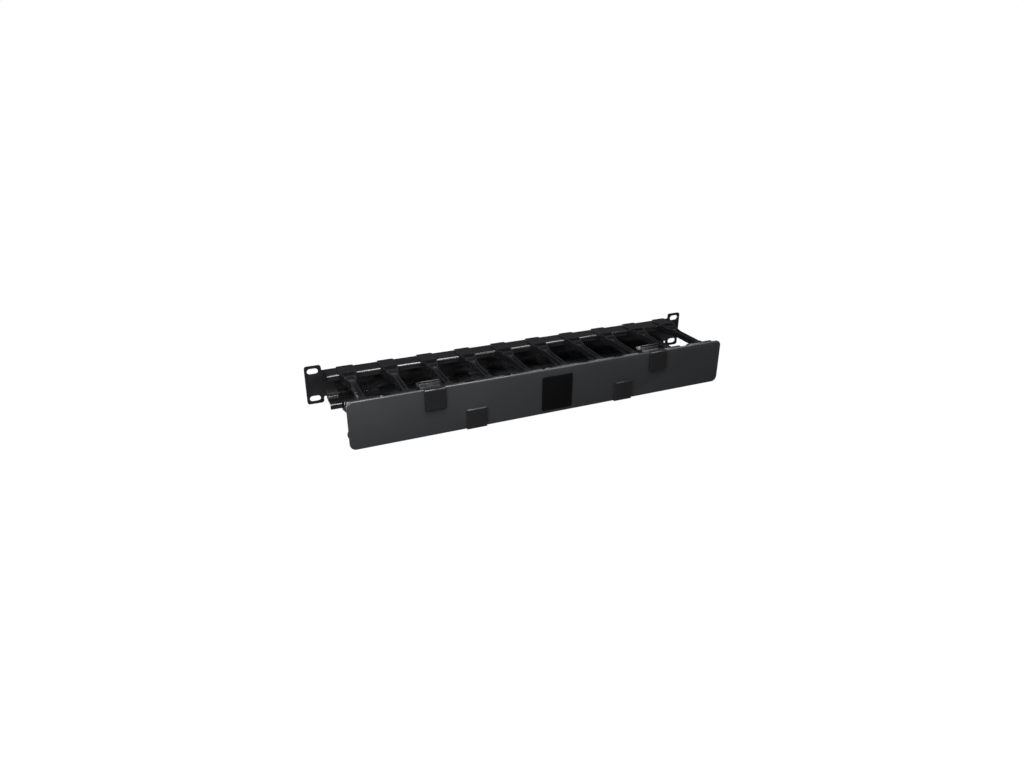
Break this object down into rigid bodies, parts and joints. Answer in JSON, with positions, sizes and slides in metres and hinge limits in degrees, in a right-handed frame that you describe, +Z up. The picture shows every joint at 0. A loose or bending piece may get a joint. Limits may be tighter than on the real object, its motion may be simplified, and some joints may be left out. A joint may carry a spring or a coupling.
{
  "type": "horizontal cable manager",
  "caption": "One-unit horizontal rack cable manager: folded steel panel, two rows of plastic fingers with cross bars and a hinged flat front cover on snap clips.",
  "frame": {"origin": "centre of the four rack slots on the rear face of the ears", "axes": "+X to the right seen from the front, +Y to the rear into the rack, +Z up; the front looks along -Y"},
  "size_m": [0.4826, 0.1159, 0.0529],
  "materials": {
    "panel_steel": "black powder coat, satin",
    "finger_plastic": "black moulded plastic",
    "cover_plastic": "black satin plastic with a fine grain",
    "clip_plastic": "black smooth plastic",
    "badge_plastic": "black satin plastic, bare"
  },
  "bodies": {
    "frame": {"rear_panel": "panel_steel", "upper_finger_01": "finger_plastic", "upper_finger_02": "finger_plastic", "upper_finger_03": "finger_plastic", "upper_finger_04": "finger_plastic", "upper_finger_05": "finger_plastic", "upper_finger_06": "finger_plastic", "upper_finger_07": "finger_plastic", "upper_finger_08": "finger_plastic", "upper_finger_09": "finger_plastic", "upper_finger_10": "finger_plastic", "lower_finger_01": "finger_plastic", "lower_finger_02": "finger_plastic", "lower_finger_03": "finger_plastic", "lower_finger_04": "finger_plastic", "lower_finger_05": "finger_plastic", "lower_finger_06": "finger_plastic", "lower_finger_07": "finger_plastic", "lower_finger_08": "finger_plastic", "lower_finger_09": "finger_plastic", "lower_finger_10": "finger_plastic"},
    "cover": {"cover": "cover_plastic", "top_clip_left": "clip_plastic", "top_clip_right": "clip_plastic", "bottom_clip_left": "clip_plastic", "bottom_clip_right": "clip_plastic", "badge_plate": "badge_plastic"}
  },
  "joints": [
    {"name": "cover_hinge", "type": "hinge", "parent": "frame", "child": "cover", "pos_m": [0, -0.0915, 0.0125], "axis": [-1, 0, 0], "range_deg": [0, 110]}
  ]
}
